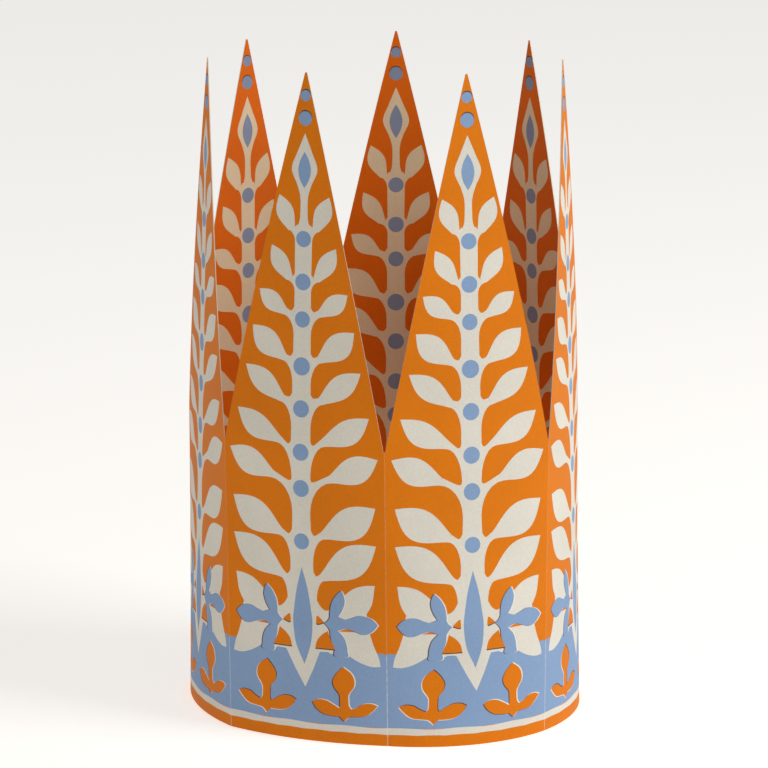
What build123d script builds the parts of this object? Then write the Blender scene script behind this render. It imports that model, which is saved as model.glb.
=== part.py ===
from build123d import *
import math
import os

# A tall crown cut from one sheet of card. Seven panels side by side make a band, each
# panel runs up into a long point, and the sheet is closed into a ring by a glued tab.
# Millimetres, +Z up, origin in the middle of the rim that the crown stands on.

# The sheet, flat
card = 0.4                # thickness of the card
panel_width = 82.8        # from crease to crease, measured along the card
crown_height = 316.0      # rim to the ends of the points
crease_height = 142.0     # rim to the bottom of each notch
point_belly = 1.0         # how far a point's long edge curves out of straight
tip_flat = 0.9            # blunt end of each point
notch_flat = 0.8          # blunt bottom of each notch, half of it on either panel
tab_width = 14.0          # glue tab behind the last panel
tab_inset = 3.0           # the tab stops this far from the rim and from the notch
tab_slope = 5.0           # how much shorter the tab is along its free edge

# How the sheet stands once it is folded: a slightly uneven ring of panels that bow
# outwards and flatten towards the points
panel_headings = (19, 78, 125, 183, 223)   # anticlockwise; the last two close the ring
rim_bows = (11.0, 9.0, 6.0, 5.5, 5.5, 7.0, 6.0)
notch_bows = (6.0, 4.0, 4.5, 3.5, 3.0, 3.0, 3.5)
tip_bows = (0.6,) * 7
point_leans = (-3.5, -3.0, -1.0, 4.5, 2.0, -3.0, -6.0)   # outwards is positive

clear = 1.0               # how far cutting outlines run past the card that they cut


def chord(bow):
    """Straight distance between the creases of a panel that bows out in the middle."""
    return panel_width * (1 - 8 / 3 * (bow / panel_width) ** 2)


def creases(bows):
    """Where the seven creases stand at one level, anticlockwise from the front one."""
    ring = [Vector(0, 0)]
    for heading, bow in zip(panel_headings, bows):
        angle = math.radians(heading)
        ring.append(ring[-1] + Vector(math.cos(angle), math.sin(angle)) * chord(bow))
    gap = ring[0] - ring[-1]
    near, far = chord(bows[-2]), chord(bows[-1])
    reach = (gap.length**2 + near**2 - far**2) / (2 * gap.length)
    outwards = Vector(gap.Y, -gap.X).normalized()
    ring.append(ring[-1] + gap.normalized() * reach + outwards * math.sqrt(near**2 - reach**2))
    centre = sum(ring, Vector()) / len(ring)
    return [corner - centre for corner in ring]


def panel_frame(number, ring):
    """The middle of a panel between its creases, and its directions along and outwards."""
    first = ring[number % len(ring)]
    last = ring[(number + 1) % len(ring)]
    along = (last - first).normalized()
    return (first + last) / 2, along, Vector(along.Y, -along.X)


def behind_crease(number, ring, bows, depth):
    """The point at a depth behind a crease, on the mitre between its two panels."""
    before, after = number - 1, number % len(ring)
    facings = []
    for panel, side in ((before, 1), (after, -1)):
        end_slope = 2 * math.atan(2 * bows[panel] / chord(bows[panel]))
        facings.append(panel_frame(panel, ring)[2].rotate(Axis.Z, side * math.degrees(end_slope)))
    mitre = (facings[0] + facings[1]).normalized()
    return ring[after] - mitre * (depth / mitre.dot(facings[0]))


def section(number, height, bows, lean, front, back):
    """A level slice of a panel, between two depths into the card."""
    ring = creases(bows)
    middle, along, outwards = panel_frame(number, ring)
    lift = Vector(0, 0, height) + outwards * lean
    start = behind_crease(number, ring, bows, front) + lift
    end = behind_crease(number + 1, ring, bows, front) + lift
    start_back = behind_crease(number, ring, bows, back) + lift
    end_back = behind_crease(number + 1, ring, bows, back) + lift
    front_middle = middle + outwards * (bows[number] - front) + lift
    back_middle = middle + outwards * (bows[number] - back) + lift
    edges = [
        ThreePointArc(start, front_middle, end),
        Line(end, end_back),
        ThreePointArc(end_back, back_middle, start_back),
        Line(start_back, start),
    ]
    return make_face(edges).face()


def slab(number, front, back):
    """A whole panel before it is cut to shape, from the rim to the height of the tips."""
    levels = [
        section(number, 0, rim_bows, 0, front, back),
        section(number, crease_height, notch_bows, 0, front, back),
        section(number, crown_height, tip_bows, point_leans[number], front, back),
    ]
    return loft(levels, ruled=True)


def cutter(number, outline):
    """A flat outline, drawn on a panel and pushed through it both ways."""
    middle, along, outwards = panel_frame(number, creases(notch_bows))
    plane = Plane(origin=middle, x_dir=along, z_dir=outwards)
    return extrude(plane * outline, amount=panel_width / 2, both=True)


def point_outline(number):
    """The band and the point of one panel: straight sides, then two slightly full edges."""
    width = chord(notch_bows[number])
    side = width / 2 + clear
    foot = Vector((width - notch_flat) / 2, crease_height)
    tip = Vector(tip_flat / 2, crown_height)
    edge = (tip - foot).normalized()
    belly = (foot + tip) / 2 + Vector(edge.Y, -edge.X) * point_belly
    right = [
        Polyline((0, -clear), (side, -clear), (side, crease_height), foot),
        ThreePointArc(foot, belly, tip),
        Line(tip, (0, crown_height)),
    ]
    left = [mirror(line, Plane.YZ) for line in right]
    return make_face(right + left)


def tab_outline():
    """The glue tab, from the crease where the ring is closed, with sloped ends."""
    crease = -panel_width / 2
    low, high = tab_inset, crease_height - tab_inset
    free = crease + tab_width
    corners = [(crease, low), (free, low + tab_slope), (free, high - tab_slope), (crease, high)]
    return make_face(Polyline(*corners, close=True))


def crown():
    """The folded sheet with its tab glued down, as one solid standing on its rim."""
    count = len(rim_bows)
    panels = [slab(number, 0, card) & cutter(number, point_outline(number)) for number in range(count)]
    last = count - 1
    tab = slab(last, card, 2 * card) & cutter(last, tab_outline())
    sheet = panels[0].fuse(*panels[1:], tab)
    middle = sheet.bounding_box().center()
    return Pos(-middle.X, -middle.Y, 0) * sheet


crown_card = crown()
crown_card.label = "crown_card"
os.makedirs("parts", exist_ok=True)
export_step(crown_card, "parts/crown_card.step")
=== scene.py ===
import math

import bmesh
import bpy
import numpy as np
from mathutils import Matrix, Vector
from mathutils.geometry import delaunay_2d_cdt


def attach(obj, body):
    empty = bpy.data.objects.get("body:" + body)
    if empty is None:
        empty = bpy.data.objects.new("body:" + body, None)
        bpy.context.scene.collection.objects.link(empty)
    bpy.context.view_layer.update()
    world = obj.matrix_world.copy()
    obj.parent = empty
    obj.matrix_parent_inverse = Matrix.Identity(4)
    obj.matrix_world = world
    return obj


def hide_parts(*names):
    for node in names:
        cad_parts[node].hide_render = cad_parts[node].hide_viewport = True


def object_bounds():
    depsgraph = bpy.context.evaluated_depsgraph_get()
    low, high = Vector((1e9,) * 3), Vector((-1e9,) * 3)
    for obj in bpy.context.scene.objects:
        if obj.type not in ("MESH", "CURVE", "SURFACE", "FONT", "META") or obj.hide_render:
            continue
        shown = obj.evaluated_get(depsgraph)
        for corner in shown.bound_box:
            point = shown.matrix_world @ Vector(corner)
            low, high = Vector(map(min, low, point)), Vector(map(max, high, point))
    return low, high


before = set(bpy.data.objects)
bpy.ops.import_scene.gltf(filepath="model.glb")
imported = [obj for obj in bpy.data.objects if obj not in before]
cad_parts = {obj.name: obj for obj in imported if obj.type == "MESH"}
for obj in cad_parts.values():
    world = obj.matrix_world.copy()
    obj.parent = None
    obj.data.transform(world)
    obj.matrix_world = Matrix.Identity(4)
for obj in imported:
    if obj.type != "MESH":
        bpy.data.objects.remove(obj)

cadLow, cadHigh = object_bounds()
mm = 0.001


# The card sheet: sizes in millimetres, leans and bows outwards positive
sheet = {
    "card": 0.4,
    "panelWidth": 82.8,
    "crownHeight": 316.0,
    "creaseHeight": 142.0,
    "pointBelly": 1.0,
    "tipFlat": 0.9,
    "notchFlat": 0.8,
    "headings": (19, 78, 125, 183, 223),   # the last two panels close the ring
    "rimBows": (11.0, 9.0, 6.0, 5.5, 5.5, 7.0, 6.0),
    "notchBows": (6.0, 4.0, 4.5, 3.5, 3.0, 3.0, 3.5),
    "tipBows": (0.6,) * 7,
    "pointLeans": (-3.5, -3.0, -1.0, 4.5, 2.0, -3.0, -6.0),
    "tabWidth": 14.0,
    "tabInset": 3.0,
    "tabSlope": 5.0,
    "meshStep": 4.0,      # spacing of the plain mesh between the printed edges
    "curveStep": 1.1,     # spacing along the printed edges
    "foldLine": 0.4,      # how far the pressed fold reaches into each panel
    "wearAndHighlightAboveBand": 0.25,   # share of the fold wear and painted crease highlight left above the band
    "weld": 0.05,         # joins neighbouring panels along their creases
    "sharpFold": 9,       # degrees past which a fold shades as an edge
}
halfWidth = sheet["panelWidth"] / 2
panelCount = len(sheet["rimBows"])
zones = ("orange", "cream", "blue", "dark", "light")
print("sheet sizes set")


# Drawing helpers, all in flat panel millimetres: u across from the middle, v up from the rim
# A curve that passes through every point
def smooth(points):
    pts = [np.array(p, float) for p in points]
    pts = [2 * pts[0] - pts[1]] + pts + [2 * pts[-1] - pts[-2]]
    line = []
    for before, start, end, after in zip(pts, pts[1:], pts[2:], pts[3:]):
        count = max(1, math.ceil(np.linalg.norm(end - start) / sheet["curveStep"]))
        for k in np.arange(count) / count:
            bend = 2 * before - 5 * start + 4 * end - after
            twist = 3 * start - before - 3 * end + after
            line.append(start + 0.5 * ((end - before) * k + bend * k**2 + twist * k**3))
    line.append(pts[-2])
    return line


# A closed outline: each span is smooth and starts at a corner
def closed(*spans):
    outline = []
    for number, span in enumerate(spans):
        corner = spans[(number + 1) % len(spans)][0]
        outline += smooth(tuple(span) + (corner,))[:-1]
    return np.array(outline)


def dot(u, v, radius):
    turns = np.linspace(0, 2 * math.pi, 18, endpoint=False)
    return np.column_stack([u + radius * np.cos(turns), v + radius * np.sin(turns)])


def mirrored(outline):
    return (outline * (-1, 1))[::-1]


def moved(outline, right, up):
    return outline + (right, up)


# A stripe from fold to fold with slightly wavy edges that meet at the folds
def across(low, high, wave=0.25, cycles=3):
    us = np.linspace(-halfWidth, halfWidth, 42)
    ripple = wave * np.sin(2 * math.pi * cycles * us / sheet["panelWidth"])
    bottom = np.column_stack([us, low + (ripple if low else 0 * us)])
    top = np.column_stack([us, high - ripple])[::-1]
    return np.vstack([bottom, top])


# The print that every panel carries: a leafy stem over a flower, berries, sprigs and stripes
motif = {
    "rimStripe": 5.5,
    "creamStripe": 8.8,
    "bandTop": 45.0,
    "bandTopAtFold": 44.5,
    "tipDots": ((305.3, 2.6), (294.8, 3.4)),
    "stemDots": ((239, 3.8), (219, 3.95), (201.5, 3.85), (179.5, 4.3), (159.5, 4.1), (139, 4.1),
                 (121.7, 4.1), (96.3, 3.9)),
    # each leaf: tip, neck, heights of its upper and lower root on the stem, bellies up and down
    "leaves": (
        ((12.7, 259), (6.2, 243.5), (243, 237), (3.2, 3.8)),
        ((16.4, 235.4), (7, 220.5), (220.5, 214.5), (3.1, 3.9)),
        ((22.5, 214.3), (9.3, 204.8), (205, 194), (3.4, 4.1)),
        ((26, 197), (9.3, 183.3), (183.6, 171), (4.6, 6.0)),
        ((29.5, 178.2), (10, 163.8), (164.5, 150), (4.6, 4.6)),
        ((33.8, 157.3), (11.5, 144.3), (142.3, 127), (3.8, 6.3)),
        ((38.2, 138.1), (15.2, 127.3), (124.8, 110), (5.1, 6.2)),
        ((36.8, 114.8), (11, 100), (99.2, 86), (5.7, 8.0)),
        ((36.9, 96.7), (10.5, 79.8), (79.8, 68), (6.3, 7.3)),
    ),
    "leafNeck": 3.8,
    "crookRise": 2.4,     # how far the rounding above a leaf's root climbs the stem
    "sprigs": (-19.7, 20.6),
    "sliver": 0.55,       # width of the thin misprinted edges
}

halfStem = ((7.5, 58), (7.5, 69), (6.2, 75), (5.7, 90), (4.6, 110), (5.0, 140), (4.7, 170),
            (4.3, 200), (4.2, 220), (4.3, 238), (3.8, 243), (2.3, 247), (1.9, 250), (1.9, 258),
            (3.6, 264), (6.5, 271.5), (3.4, 280))


def stemWidth(v):
    return float(np.interp(v, [p[1] for p in halfStem], [p[0] for p in halfStem]))


# A leaf on a short neck, rounded into the stem above and below its root
def leaf(tip, neck, roots, bellies):
    tip, neck = np.array(tip), np.array(neck)
    axis = tip - neck
    side = np.array((-axis[1], axis[0])) / np.linalg.norm(axis)
    count = math.ceil(np.linalg.norm(axis) / (2 * sheet["curveStep"]))
    k = np.linspace(0, 1, count + 1)
    swell = np.sin(math.pi * k**1.15)
    taper = motif["leafNeck"] / 2 * (1 - k)
    upper = neck + np.outer(k, axis) + np.outer(taper + bellies[0] * swell, side)
    lower = neck + np.outer(k, axis) - np.outer(taper + bellies[1] * swell, side)
    high, low = roots
    foot = np.array((stemWidth(low), low))
    turn = np.linspace(0, math.pi / 2, 7)[:-1]
    reach = lower[0] - foot
    fillet = foot + np.column_stack([reach[0] * (1 - np.cos(turn)), reach[1] * np.sin(turn)])
    stemThere, crookTop = stemWidth(high), high + motif["crookRise"]
    crook = smooth(((stemThere - 0.2, crookTop), (stemThere + 1.4, high + 0.3), tuple(upper[0])))
    return np.vstack([[(0, low)], fillet, lower[:-1], upper[::-1], crook[-2::-1], [(0, crookTop)]])


# All the printed shapes of one panel
def panelPrint():
    layers = []   # painted in order, later ones on top

    def paint(zone, outline, bothSides=False):
        layers.append((zones.index(zone), outline))
        if bothSides:
            layers.append((zones.index(zone), mirrored(outline)))

    def edged(zone, outline, darkWay, lightWay):
        paint("dark", moved(outline, *darkWay))
        paint("light", moved(outline, *lightWay))
        paint(zone, outline)

    thin = motif["sliver"]
    band = across(motif["creamStripe"], motif["bandTop"], 0)
    band[[41, 42], 1] = motif["bandTopAtFold"]
    band[41, 1] = motif["creamStripe"]
    paint("blue", band)

    stem = smooth(halfStem)
    paint("cream", np.vstack([stem, [(0, 288)], [(-u, v) for u, v in stem[::-1]]]))
    for one in motif["leaves"]:
        paint("cream", leaf(*one), bothSides=True)
    paint("cream", closed(((-36.1, 77.7), (-31.5, 77.4), (-26, 75.7), (-20.7, 71.5), (-16, 66.5),
                           (-12.5, 64), (-9.5, 65.6), (-7.4, 69)), ((-7.4, 69), (0, 69), (0, 57.5)),
                          ((0, 57.5), (-10.2, 57.6), (-14, 58), (-24, 58), (-32, 60)),
                          ((-32, 63.8), (-34.7, 69))), bothSides=True)
    paint("cream", closed(((-13, 54.4), (-33.3, 54.8)), ((-33.3, 54.8), (-35.3, 48.5), (-37.6, 43)),
                          ((-38.5, 38.6), (-34, 38.4), (-28, 40.3)), ((-21.6, 44), (-13, 44))),
          bothSides=True)
    paint("cream", np.array([(-13.2, 57.8), (-13.2, 44), (-8.6, 43.8), (-4, 35), (1.2, 26),
                             (5.4, 35), (8.8, 43.8), (13.4, 44), (13.4, 57.8)]))

    flower = closed(((-36.4, 58.3), (-33.5, 61.2), (-28.2, 62.5), (-23.5, 60.9), (-20.8, 60.2)),
                    ((-17.2, 61.3), (-19.2, 64.5), (-20.4, 68.5), (-19.9, 71.8)),
                    ((-18.8, 74), (-16, 71.3), (-13.8, 67.3), (-13, 62.5), (-13, 60.8), (-11.8, 58.8)),
                    ((-10.2, 57.6), (-12, 55.8)), ((-13.1, 54), (-13.5, 50)),
                    ((-15.3, 45.3), (-15.3, 42), (-21.6, 42)), ((-21.6, 44.5), (-21.4, 47), (-20, 51.2)),
                    ((-17, 54.4), (-20.8, 55.7), (-24.5, 54.9), (-29.7, 53.3), (-33.7, 55)))
    edged("blue", flower, (-thin, 0), (thin, 0))
    edged("blue", moved(mirrored(flower), 1, 0.3), (-thin, 0), (thin, 0))
    paint("blue", closed(((0, 84), (-2.6, 74), (-4.2, 64), (-4.75, 57), (-3.4, 47)),
                         ((0.9, 37.1), (4.2, 47), (5.2, 57), (4.5, 64), (2.8, 74))))
    for v, radius in motif["stemDots"]:
        paint("blue", dot(0, v, radius))
    paint("blue", closed(((0, 279.5), (-2.2, 275.5), (-3.2, 271), (-2.3, 266.5)),
                         ((0, 262.5), (2.3, 266.5), (3.2, 271), (2.2, 275.5))))
    for v, radius in motif["tipDots"]:
        paint("dark", dot(0.1, v + 0.6, radius))
        paint("blue", dot(0, v, radius))

    small = closed(((-10.2, 58), (-7.3, 60.7)), ((-6.3, 60.9), (-6.3, 57)))
    large = closed(((-15.5, 45.3), (-5.5, 45.3)), ((-5.5, 45.3), (-6.5, 49), (-9, 52)),
                   ((-12, 54), (-13.2, 50)))
    for triangle in (small, moved(mirrored(small), 1, 0.3), large, moved(mirrored(large), 1, 0.3)):
        paint("dark", moved(triangle, 0, -thin))
        paint("orange", triangle)

    half = ((0.3, 37.3), (3.4, 34.3), (5.4, 30.5), (4.8, 27.3), (2.3, 24), (2, 21.5), (1.9, 18.5))
    sprig = closed(half, ((2.3, 17), (5, 18.6), (9, 20.5), (13, 20.6)),
                   ((15.8, 19.3), (13.8, 16.2), (10, 13.8), (5, 13.1)), ((2.5, 13.2), (1.3, 12.2)),
                   ((0, 10.8), (-1.4, 12.3)), ((-2.8, 13.2), (-6, 13.5), (-10.5, 14.2), (-13.8, 16.6)),
                   ((-16.2, 19.3), (-13.5, 20.3), (-9.5, 20), (-6.5, 18.2)),
                   ((-3.6, 17), (-2.4, 18.5), (-2.1, 22), (-2.4, 24.2), (-4.8, 27.8), (-5.2, 31),
                    (-3.6, 34.5)))
    left, right = motif["sprigs"]
    edged("orange", moved(sprig, left, 0), (thin * 0.7, thin * 0.7), (-thin * 0.7, -thin * 0.5))
    edged("orange", moved(mirrored(sprig), right, 0), (-thin, -thin * 0.4), (thin, thin * 0.5))

    paint("cream", across(motif["rimStripe"], motif["creamStripe"]))
    paint("orange", across(0, motif["rimStripe"]))
    return layers


# Which points lie within an outline
def inside(outline, points):
    hit = np.zeros(len(points), bool)
    x, y = points.T
    for (ax, ay), (bx, by) in zip(outline, np.roll(outline, -1, axis=0)):
        if ay == by:
            continue
        hit ^= ((ay > y) != (by > y)) & (x < (bx - ax) * (y - ay) / (by - ay) + ax)
    return hit


# The cut edge of one flat panel and its point
def panelEdge():
    step, top, crease = sheet["meshStep"], sheet["crownHeight"], sheet["creaseHeight"]
    foot = np.array((halfWidth - sheet["notchFlat"] / 2, crease))
    tip = np.array((sheet["tipFlat"] / 2, top))
    outwards = (tip - foot)[::-1] * (1, -1) / np.linalg.norm(tip - foot)
    count = math.ceil((top - crease) / step)
    k = np.linspace(0, 1, count + 1)
    fullness = 4 * k * (1 - k) * sheet["pointBelly"]
    long = foot + np.outer(k, tip - foot) + np.outer(fullness, outwards)
    side = [(halfWidth, v) for v in np.linspace(0, crease, math.ceil(crease / step) + 1)]
    right = np.vstack([side, long])
    rim = [(u, 0) for u in np.linspace(-halfWidth, halfWidth, 24)[1:-1]]
    return np.vstack([rim, right, (right * (-1, 1))[::-1]])


# A flat mesh whose faces follow every printed edge, numbered by the ink they carry
def printedMesh(name, edge, layers):
    press = halfWidth - sheet["foldLine"]
    pressed = np.array([(press, v) for v in np.arange(0, sheet["creaseHeight"], sheet["meshStep"])])
    pressed = np.vstack([pressed, pressed[::-1] + (sheet["foldLine"], 0)])
    loops = [edge] + [outline for zone, outline in layers]
    loops += [pressed, mirrored(pressed)] if layers else []
    points = np.vstack(loops)
    lines, start = [], 0
    for loop in loops:
        count = len(loop)
        lines += [(start + k, start + (k + 1) % count) for k in range(count)]
        start += count
    low, high = edge.min(axis=0), edge.max(axis=0)
    step = sheet["meshStep"]
    grid = np.array([(u, v) for u in np.arange(low[0] + step / 2, high[0], step)
                     for v in np.arange(low[1] + step / 2, high[1], step)])
    grid = grid[inside(edge, grid)]
    spaced = [g for g in grid if np.min(np.hypot(*(points - g).T)) > step / 3]
    points = np.vstack([points, spaced])
    flat = [Vector(p) for p in points]
    verts, _, faces, *_ = delaunay_2d_cdt(flat, lines, [], 0, 1e-4)
    verts = np.array([tuple(v) for v in verts])
    corners = verts[np.array(faces)]
    middles = corners.mean(axis=1)
    area = np.cross(corners[:, 1] - corners[:, 0], corners[:, 2] - corners[:, 0])
    keep = inside(edge, middles) & (abs(area) > 1e-4)
    faces = [f if a > 0 else f[::-1] for f, a, k in zip(faces, area, keep) if k]
    middles = middles[keep]
    zone = np.zeros(len(faces), int)
    for number, outline in layers:
        zone[inside(outline, middles)] = number
    mesh = bpy.data.meshes.new(name)
    mesh.from_pydata([(u * mm, v * mm, 0) for u, v in verts], [], faces)
    mesh.polygons.foreach_set("material_index", zone)
    stored = mesh.attributes.new("zone", "INT", "FACE")
    stored.data.foreach_set("value", zone)
    # The fold vertices carry the lighter fold line, partly ink wear and partly a painted crease
    # highlight
    wornAndHighlit = mesh.attributes.new("foldWearAndHighlight", "FLOAT", "POINT")
    fromFold = halfWidth - abs(verts[:, 0])
    inBand = np.where(verts[:, 1] < motif["bandTopAtFold"], 1.0, sheet["wearAndHighlightAboveBand"])
    wornAndHighlit.data.foreach_set("value", (fromFold < 0.01) * inBand)
    cleaned = bmesh.new()
    cleaned.from_mesh(mesh)
    unused = [v for v in cleaned.verts if not v.link_faces]
    bmesh.ops.delete(cleaned, geom=unused, context="VERTS")
    cleaned.to_mesh(mesh)
    cleaned.free()
    return mesh


# Where the creases stand at each level, in the same way that the card is folded
def chord(bow):
    return sheet["panelWidth"] * (1 - 8 / 3 * (bow / sheet["panelWidth"]) ** 2)


def creaseRing(bows):
    ring = [np.zeros(2)]
    for heading, bow in zip(sheet["headings"], bows):
        angle = math.radians(heading)
        ring.append(ring[-1] + chord(bow) * np.array((math.cos(angle), math.sin(angle))))
    gap = -ring[-1]
    length = np.linalg.norm(gap)
    near, far = chord(bows[-2]), chord(bows[-1])
    reach = (length**2 + near**2 - far**2) / (2 * length)
    outwards = np.array((gap[1], -gap[0])) / length
    ring.append(ring[-1] + gap / length * reach + outwards * math.sqrt(near**2 - reach**2))
    return np.array(ring) - np.mean(ring, axis=0)


# One point for each panel, carrying where its creases stand at each level
def ringPoints(name, numbers):
    mesh = bpy.data.meshes.new(name)
    mesh.from_pydata([(0, 0, 0)] * len(numbers), [], [])
    for level in ("rim", "notch", "tip"):
        bows = sheet[level + "Bows"]
        ring = creaseRing(bows)
        starts, ends = [], []
        for number in numbers:
            start, end = ring[number], ring[(number + 1) % panelCount]
            along = (end - start) / np.linalg.norm(end - start)
            lean = sheet["pointLeans"][number] if level == "tip" else 0
            lift = np.array((along[1], -along[0])) * lean
            starts += [*(start + lift) * mm, 0]
            ends += [*(end + lift) * mm, 0]
        for end, values in (("Start", starts), ("End", ends)):
            stored = mesh.attributes.new(level + end, "FLOAT_VECTOR", "POINT")
            stored.data.foreach_set("vector", values)
        stored = mesh.attributes.new(level + "Bow", "FLOAT", "POINT")
        stored.data.foreach_set("value", [bows[number] * mm for number in numbers])
    ringObject = bpy.data.objects.new(name, mesh)
    bpy.context.scene.collection.objects.link(ringObject)
    return ringObject


def addNode(tree, kind, **settings):
    node = tree.nodes.new(kind)
    for setting, value in settings.items():
        setattr(node, setting, value)
    return node


def sums(tree, operation, *values):
    node = addNode(tree, "ShaderNodeMath", operation=operation)
    for number, value in enumerate(values):
        if hasattr(value, "links"):
            tree.links.new(value, node.inputs[number])
        else:
            node.inputs[number].default_value = value
    return node.outputs[0]


def vectorSums(tree, operation, *values, scale=None):
    node = addNode(tree, "ShaderNodeVectorMath", operation=operation)
    for number, value in enumerate(values):
        tree.links.new(value, node.inputs[number])
    if scale is not None:
        tree.links.new(scale, node.inputs["Scale"])
    return node.outputs["Value"] if operation == "LENGTH" else node.outputs[0]


# A place on a bowed level section, from its two creases and the share across
def arcGroup():
    tree = bpy.data.node_groups.new("bowedSection", "GeometryNodeTree")
    for name in ("Start", "End"):
        tree.interface.new_socket(name, in_out="INPUT", socket_type="NodeSocketVector")
    for name in ("Bow", "Share"):
        tree.interface.new_socket(name, in_out="INPUT", socket_type="NodeSocketFloat")
    tree.interface.new_socket("Point", in_out="OUTPUT", socket_type="NodeSocketVector")
    given = addNode(tree, "NodeGroupInput").outputs
    result = addNode(tree, "NodeGroupOutput").inputs
    line = vectorSums(tree, "SUBTRACT", given["End"], given["Start"])
    length = vectorSums(tree, "LENGTH", line)
    parts = addNode(tree, "ShaderNodeSeparateXYZ")
    tree.links.new(line, parts.inputs[0])
    outwards = addNode(tree, "ShaderNodeCombineXYZ")
    tree.links.new(sums(tree, "DIVIDE", parts.outputs[1], length), outwards.inputs[0])
    backwards = sums(tree, "MULTIPLY", parts.outputs[0], -1.0)
    tree.links.new(sums(tree, "DIVIDE", backwards, length), outwards.inputs[1])
    doubleBow = sums(tree, "MULTIPLY", given["Bow"], 2.0)
    endSlope = sums(tree, "ARCTANGENT", sums(tree, "DIVIDE", doubleBow, length))
    halfTurn = sums(tree, "MULTIPLY", endSlope, 2.0)
    radius = sums(tree, "DIVIDE", length, sums(tree, "MULTIPLY", sums(tree, "SINE", halfTurn), 2.0))
    turn = sums(tree, "MULTIPLY", sums(tree, "MULTIPLY", given["Share"], 2.0), halfTurn)
    along = sums(tree, "DIVIDE", sums(tree, "MULTIPLY", radius, sums(tree, "SINE", turn)), length)
    rise = sums(tree, "SUBTRACT", sums(tree, "COSINE", turn), sums(tree, "COSINE", halfTurn))
    bulge = sums(tree, "MULTIPLY", radius, rise)
    share = sums(tree, "ADD", along, 0.5)
    onChord = vectorSums(tree, "ADD", given["Start"], vectorSums(tree, "SCALE", line, scale=share))
    offset = vectorSums(tree, "SCALE", outwards.outputs[0], scale=bulge)
    tree.links.new(vectorSums(tree, "ADD", onChord, offset), result["Point"])
    return tree


# Sets the flat panels round the ring and bends each one between its creases
def foldingTree(finishes):
    tree = bpy.data.node_groups.new("foldIntoRing", "GeometryNodeTree")
    tree.interface.new_socket("Flat panel", in_out="INPUT", socket_type="NodeSocketGeometry")
    tree.interface.new_socket("Ring", in_out="INPUT", socket_type="NodeSocketObject")
    for name in ("Panel width", "Crease height", "Crown height", "Depth", "Weld"):
        tree.interface.new_socket(name, in_out="INPUT", socket_type="NodeSocketFloat")
    tree.interface.new_socket("Crown", in_out="OUTPUT", socket_type="NodeSocketGeometry")
    link = tree.links.new
    given = addNode(tree, "NodeGroupInput").outputs
    result = addNode(tree, "NodeGroupOutput").inputs
    ring = addNode(tree, "GeometryNodeObjectInfo")
    link(given["Ring"], ring.inputs["Object"])
    places = addNode(tree, "GeometryNodeInstanceOnPoints")
    link(ring.outputs["Geometry"], places.inputs["Points"])
    link(given["Flat panel"], places.inputs["Instance"])
    real = addNode(tree, "GeometryNodeRealizeInstances")
    link(places.outputs[0], real.inputs[0])

    flat = addNode(tree, "ShaderNodeSeparateXYZ")
    link(addNode(tree, "GeometryNodeInputPosition").outputs[0], flat.inputs[0])
    share = sums(tree, "DIVIDE", flat.outputs[0], given["Panel width"])
    height = flat.outputs[1]
    section = arcGroup()
    levels = {}
    for level in ("rim", "notch", "tip"):
        group = addNode(tree, "GeometryNodeGroup", node_tree=section)
        for end, kind in (("Start", "FLOAT_VECTOR"), ("End", "FLOAT_VECTOR"), ("Bow", "FLOAT")):
            named = addNode(tree, "GeometryNodeInputNamedAttribute", data_type=kind)
            named.inputs[0].default_value = level + end
            link(named.outputs[0], group.inputs[end])
        link(share, group.inputs["Share"])
        levels[level] = group.outputs[0]

    def between(low, high, amount):
        node = addNode(tree, "ShaderNodeMix", data_type="VECTOR")
        link(amount, node.inputs[0])
        link(levels[low], node.inputs[4])
        link(levels[high], node.inputs[5])
        return node.outputs[1]

    lower = between("rim", "notch", sums(tree, "DIVIDE", height, given["Crease height"]))
    aboveCrease = sums(tree, "SUBTRACT", height, given["Crease height"])
    pointLength = sums(tree, "SUBTRACT", given["Crown height"], given["Crease height"])
    upper = between("notch", "tip", sums(tree, "DIVIDE", aboveCrease, pointLength))
    choose = addNode(tree, "GeometryNodeSwitch", input_type="VECTOR")
    link(sums(tree, "GREATER_THAN", aboveCrease, 0.0), choose.inputs["Switch"])
    link(lower, choose.inputs["False"])
    link(upper, choose.inputs["True"])
    lift = addNode(tree, "ShaderNodeCombineXYZ")
    link(height, lift.inputs[2])
    folded = addNode(tree, "GeometryNodeSetPosition")
    link(real.outputs[0], folded.inputs["Geometry"])
    link(vectorSums(tree, "ADD", choose.outputs[0], lift.outputs[0]), folded.inputs["Position"])
    welded = addNode(tree, "GeometryNodeMergeByDistance")
    link(folded.outputs[0], welded.inputs["Geometry"])
    link(given["Weld"], welded.inputs["Distance"])
    sunk = addNode(tree, "GeometryNodeSetPosition")
    link(welded.outputs[0], sunk.inputs["Geometry"])
    inwards = sums(tree, "MULTIPLY", given["Depth"], -1.0)
    facing = addNode(tree, "GeometryNodeInputNormal").outputs[0]
    link(vectorSums(tree, "SCALE", facing, scale=inwards), sunk.inputs["Offset"])

    shape = sunk.outputs[0]
    zoneHere = addNode(tree, "GeometryNodeInputNamedAttribute", data_type="INT")
    zoneHere.inputs[0].default_value = "zone"
    for number, finish in enumerate(finishes):
        same = addNode(tree, "FunctionNodeCompare", data_type="INT", operation="EQUAL")
        link(zoneHere.outputs[0], same.inputs[2])
        same.inputs[3].default_value = number
        coat = addNode(tree, "GeometryNodeSetMaterial")
        coat.inputs["Material"].default_value = finish
        link(same.outputs[0], coat.inputs["Selection"])
        link(shape, coat.inputs["Geometry"])
        shape = coat.outputs[0]
    link(shape, result["Crown"])
    return tree
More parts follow.
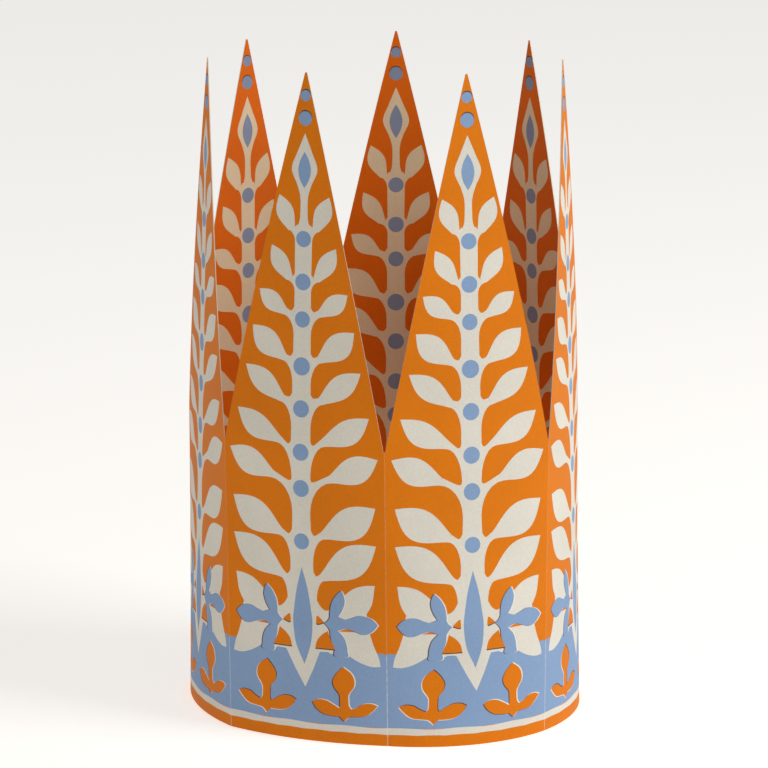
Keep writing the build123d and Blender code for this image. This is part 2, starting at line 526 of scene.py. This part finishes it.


# Print colours, and darker, redder inside copies of them that hold painted shade, as (red, green, blue)
# out of 255
printAndShadeColours = {
    "orange": (222, 121, 0),
    "cream": (222, 219, 208),
    "blue": (134, 162, 200),
    "dark": (92, 70, 66),
    "light": (236, 233, 224),
    # Inside copies of the inks: the same print made darker and redder, with painted shade for the inside
    # of the ring and a painted glow for light shining through the thin card
    "insideOrange": (224, 104, 2),
    "insideCream": (228, 208, 174),
    "insideBlue": (134, 146, 172),
    "insideDark": (96, 72, 62),
    "insideLight": (222, 212, 190),
    "core": (226, 218, 200),
    "mottle": 0.2,        # how unevenly the ink lies
    "foldCrackAndHighlight": 0.55,    # how much the folds lighten: ink flaked off, plus a painted highlight where the crease catches the light
    "roughness": 0.62,
    "fibreDepth": 0.00006,
}


cardGrain = {
    "clouds": (28, 3),    # scale and detail of each layer of unevenness
    "fibres": (900, 4),
    "specks": (2600, 2),
    "bumpStrength": 0.6,
    "specular": 0.16,
}


def linear(colour):
    shares = [c / 255 for c in colour]
    return tuple(s / 12.92 if s <= 0.04045 else ((s + 0.055) / 1.055) ** 2.4 for s in shares) + (1,)


# Printed card: uneven ink, paper fibres, and lighter folds, partly ink flaked off and partly a painted
# crease highlight
def cardSurface():
    tree = bpy.data.node_groups.new("cardSurface", "ShaderNodeTree")
    tree.interface.new_socket("Ink", in_out="INPUT", socket_type="NodeSocketColor")
    for name in ("Mottle", "Fold white", "Matt"):
        tree.interface.new_socket(name, in_out="INPUT", socket_type="NodeSocketFloat")
    tree.interface.new_socket("Color", in_out="OUTPUT", socket_type="NodeSocketColor")
    for name in ("Roughness", "Height"):
        tree.interface.new_socket(name, in_out="OUTPUT", socket_type="NodeSocketFloat")
    link = tree.links.new
    given = addNode(tree, "NodeGroupInput").outputs
    result = addNode(tree, "NodeGroupOutput").inputs
    place = addNode(tree, "ShaderNodeTexCoord").outputs["Object"]

    def noise(scale, detail):
        node = addNode(tree, "ShaderNodeTexNoise")
        link(place, node.inputs["Vector"])
        node.inputs["Scale"].default_value = scale
        node.inputs["Detail"].default_value = detail
        return node.outputs[0]

    clouds, fibres, specks = [noise(*cardGrain[size]) for size in ("clouds", "fibres", "specks")]
    uneven = sums(tree, "SUBTRACT", sums(tree, "ADD", clouds, fibres), 1.0)
    bright = sums(tree, "ADD", sums(tree, "MULTIPLY", uneven, given["Mottle"]), 1.0)
    shaded = addNode(tree, "ShaderNodeVectorMath", operation="SCALE")
    link(given["Ink"], shaded.inputs[0])
    link(bright, shaded.inputs["Scale"])
    # Mixes towards near white along the folds: ink wear plus a painted crease highlight
    wornAndHighlit = addNode(tree, "ShaderNodeAttribute", attribute_name="foldWearAndHighlight")
    onFold = sums(tree, "MULTIPLY", wornAndHighlit.outputs["Fac"], sums(tree, "MULTIPLY", fibres, 1.6))
    crackedAndHighlit = sums(tree, "SMOOTH_MIN", onFold, 1.0, 0.1)
    amount = sums(tree, "MULTIPLY", crackedAndHighlit, given["Fold white"])
    mixed = addNode(tree, "ShaderNodeMix", data_type="RGBA")
    link(amount, mixed.inputs[0])
    link(shaded.outputs[0], mixed.inputs[6])
    mixed.inputs[7].default_value = linear(printAndShadeColours["light"])
    link(mixed.outputs[2], result["Color"])
    link(sums(tree, "ADD", sums(tree, "MULTIPLY", uneven, 0.12), given["Matt"]), result["Roughness"])
    coarse, fine = sums(tree, "MULTIPLY", fibres, 0.7), sums(tree, "MULTIPLY", specks, 0.3)
    link(sums(tree, "ADD", coarse, fine), result["Height"])
    return tree


def inkMaterial(name, colour, surface):
    material = bpy.data.materials.new(name)
    material.use_nodes = True
    tree = material.node_tree
    shader = tree.nodes["Principled BSDF"]
    group = addNode(tree, "ShaderNodeGroup", node_tree=surface)
    group.inputs["Ink"].default_value = linear(colour)
    group.inputs["Mottle"].default_value = printAndShadeColours["mottle"]
    group.inputs["Fold white"].default_value = printAndShadeColours["foldCrackAndHighlight"]
    group.inputs["Matt"].default_value = printAndShadeColours["roughness"]
    tree.links.new(group.outputs["Color"], shader.inputs["Base Color"])
    tree.links.new(group.outputs["Roughness"], shader.inputs["Roughness"])
    grain = addNode(tree, "ShaderNodeBump")
    grain.inputs["Distance"].default_value = printAndShadeColours["fibreDepth"]
    grain.inputs["Strength"].default_value = cardGrain["bumpStrength"]
    tree.links.new(group.outputs["Height"], grain.inputs["Height"])
    tree.links.new(grain.outputs["Normal"], shader.inputs["Normal"])
    shader.inputs["Specular IOR Level"].default_value = cardGrain["specular"]
    return material


surface = cardSurface()
# The inner face takes these inside copies, which carry painted shade and painted show-through light on
# the print
shadedInsideZones = ["inside" + zone.capitalize() for zone in zones]
outer = [inkMaterial(zone + "Ink", printAndShadeColours[zone], surface) for zone in zones]
shadedInnerInks = [inkMaterial(zone + "Ink", printAndShadeColours[zone], surface) for zone in shadedInsideZones]
core = inkMaterial("cutCardEdge", printAndShadeColours["core"], surface)
finishes = outer + shadedInnerInks + [core]
print("inks mixed")


# Folds a flat mesh and gives it the thickness of the card
def foldedSheet(name, mesh, ring, tree, depth):
    for finish in finishes:
        mesh.materials.append(finish)
    flatSheet = bpy.data.objects.new(name, mesh)
    bpy.context.scene.collection.objects.link(flatSheet)
    fold = flatSheet.modifiers.new("fold", "NODES")
    fold.node_group = tree
    sizes = {
        "Ring": ring,
        "Panel width": sheet["panelWidth"] * mm,
        "Crease height": sheet["creaseHeight"] * mm,
        "Crown height": sheet["crownHeight"] * mm,
        "Depth": depth * mm,
        "Weld": sheet["weld"] * mm,
    }
    for socket in tree.interface.items_tree:
        if socket.name in sizes:
            fold[socket.identifier] = sizes[socket.name]
    wall = flatSheet.modifiers.new("wall", "SOLIDIFY")
    wall.thickness = sheet["card"] * mm
    wall.offset = -1
    wall.use_even_offset = True
    # The inner face gets the inside ink copies, which carry painted shade
    wall.material_offset = len(zones)
    wall.material_offset_rim = 2 * len(zones)
    shown = flatSheet.evaluated_get(bpy.context.evaluated_depsgraph_get())
    finished = bpy.data.meshes.new_from_object(shown)
    bpy.data.objects.remove(flatSheet)
    return finished


# The glue tab, which lies behind the last panel
def tabMesh():
    low, high = sheet["tabInset"], sheet["creaseHeight"] - sheet["tabInset"]
    free = -halfWidth + sheet["tabWidth"]
    slope = sheet["tabSlope"]
    corners = ((-halfWidth, low), (free, low + slope), (free, high - slope), (-halfWidth, high))
    outline = closed(*[(corner,) for corner in corners])
    return printedMesh("tabFlat", outline, [])


panel = printedMesh("panelFlat", panelEdge(), panelPrint())
print("one panel printed and cut:", len(panel.polygons), "faces")
tree = foldingTree(outer)
allPanels = ringPoints("ringOfCreases", range(panelCount))
lastPanel = ringPoints("tabCrease", [panelCount - 1])
folded = foldedSheet("panelSheet", panel, allPanels, tree, 0)
tab = foldedSheet("tabSheet", tabMesh(), lastPanel, tree, sheet["card"])
both = bmesh.new()
both.from_mesh(folded)
both.from_mesh(tab)
both.to_mesh(folded)
both.free()
corners = np.array([v.co[:] for v in folded.vertices])
middle = (corners.min(axis=0) + corners.max(axis=0)) / 2
folded.transform(Matrix.Translation(((cadLow.x + cadHigh.x) / 2 - middle[0],
                                     (cadLow.y + cadHigh.y) / 2 - middle[1], 0)))
folded.polygons.foreach_set("use_smooth", [True] * len(folded.polygons))
folded.set_sharp_from_angle(angle=math.radians(sheet["sharpFold"]))
crown = bpy.data.objects.new("paperCrown", folded)
bpy.context.scene.collection.objects.link(crown)
for ring in (allPanels, lastPanel):
    bpy.data.objects.remove(ring)
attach(crown, "root")
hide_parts("crown_card")
print("crown folded:", len(folded.polygons), "faces")


# Floor, light and camera
studio = {
    "floorColour": (244, 244, 242),
    "floorSize": 14.0,
    "surroundStrength": 0.22,
    "floorGlow": 0.62,
    "keyPlace": (1.9, -0.75, 1.1),
    "keyPower": 27,
    "keySize": 1.2,
    "fillPlace": (-1.6, -1.0, 0.9),
    "fillPower": 3,
    "cameraPlace": (0, -1.940, 0.563),
    "cameraAim": (0, 0.0005, 0.1556),
    "lens": 192.4,
    "keyColour": (1, 0.98, 0.95),
    "fillColour": (1, 0.78, 0.6),
    "surroundColour": (1, 0.99, 0.97, 1),
    "glowColour": (1, 0.98, 0.95, 1),
    "lightAim": (0, 0, 0.15),
}
bpy.ops.mesh.primitive_plane_add(size=studio["floorSize"])
floor = bpy.context.object
floor.name = "floor"
paleFloor = bpy.data.materials.new("paleFloor")
paleFloor.use_nodes = True
floorShader = paleFloor.node_tree.nodes["Principled BSDF"]
floorShader.inputs["Base Color"].default_value = linear(studio["floorColour"])
floorShader.inputs["Roughness"].default_value = 0.9
floorShader.inputs["Emission Color"].default_value = studio["glowColour"]
floorShader.inputs["Emission Strength"].default_value = studio["floorGlow"]
floor.data.materials.append(paleFloor)

world = bpy.data.worlds.new("whiteRoom")
bpy.context.scene.world = world
world.use_nodes = True
surround = world.node_tree.nodes["Background"]
surround.inputs["Color"].default_value = studio["surroundColour"]
surround.inputs["Strength"].default_value = studio["surroundStrength"]


def softLight(name, place, power, size, colour):
    lamp = bpy.data.lights.new(name, "AREA")
    lamp.energy = power
    lamp.size = size
    lamp.color = colour
    held = bpy.data.objects.new(name, lamp)
    held.location = place
    aim = Vector(studio["lightAim"]) - Vector(place)
    held.rotation_euler = aim.to_track_quat("-Z", "Y").to_euler()
    bpy.context.scene.collection.objects.link(held)


softLight("keyLight", studio["keyPlace"], studio["keyPower"], studio["keySize"], studio["keyColour"])
softLight("fillLight", studio["fillPlace"], studio["fillPower"], studio["keySize"], studio["fillColour"])

camera = bpy.data.objects.new("camera", bpy.data.cameras.new("camera"))
camera.data.lens = studio["lens"]
camera.location = studio["cameraPlace"]
aim = Vector(studio["cameraAim"]) - camera.location
camera.rotation_euler = aim.to_track_quat("-Z", "Y").to_euler()
bpy.context.scene.collection.objects.link(camera)
bpy.context.scene.camera = camera
bpy.context.scene.view_settings.view_transform = "Standard"
print("lights and camera placed")
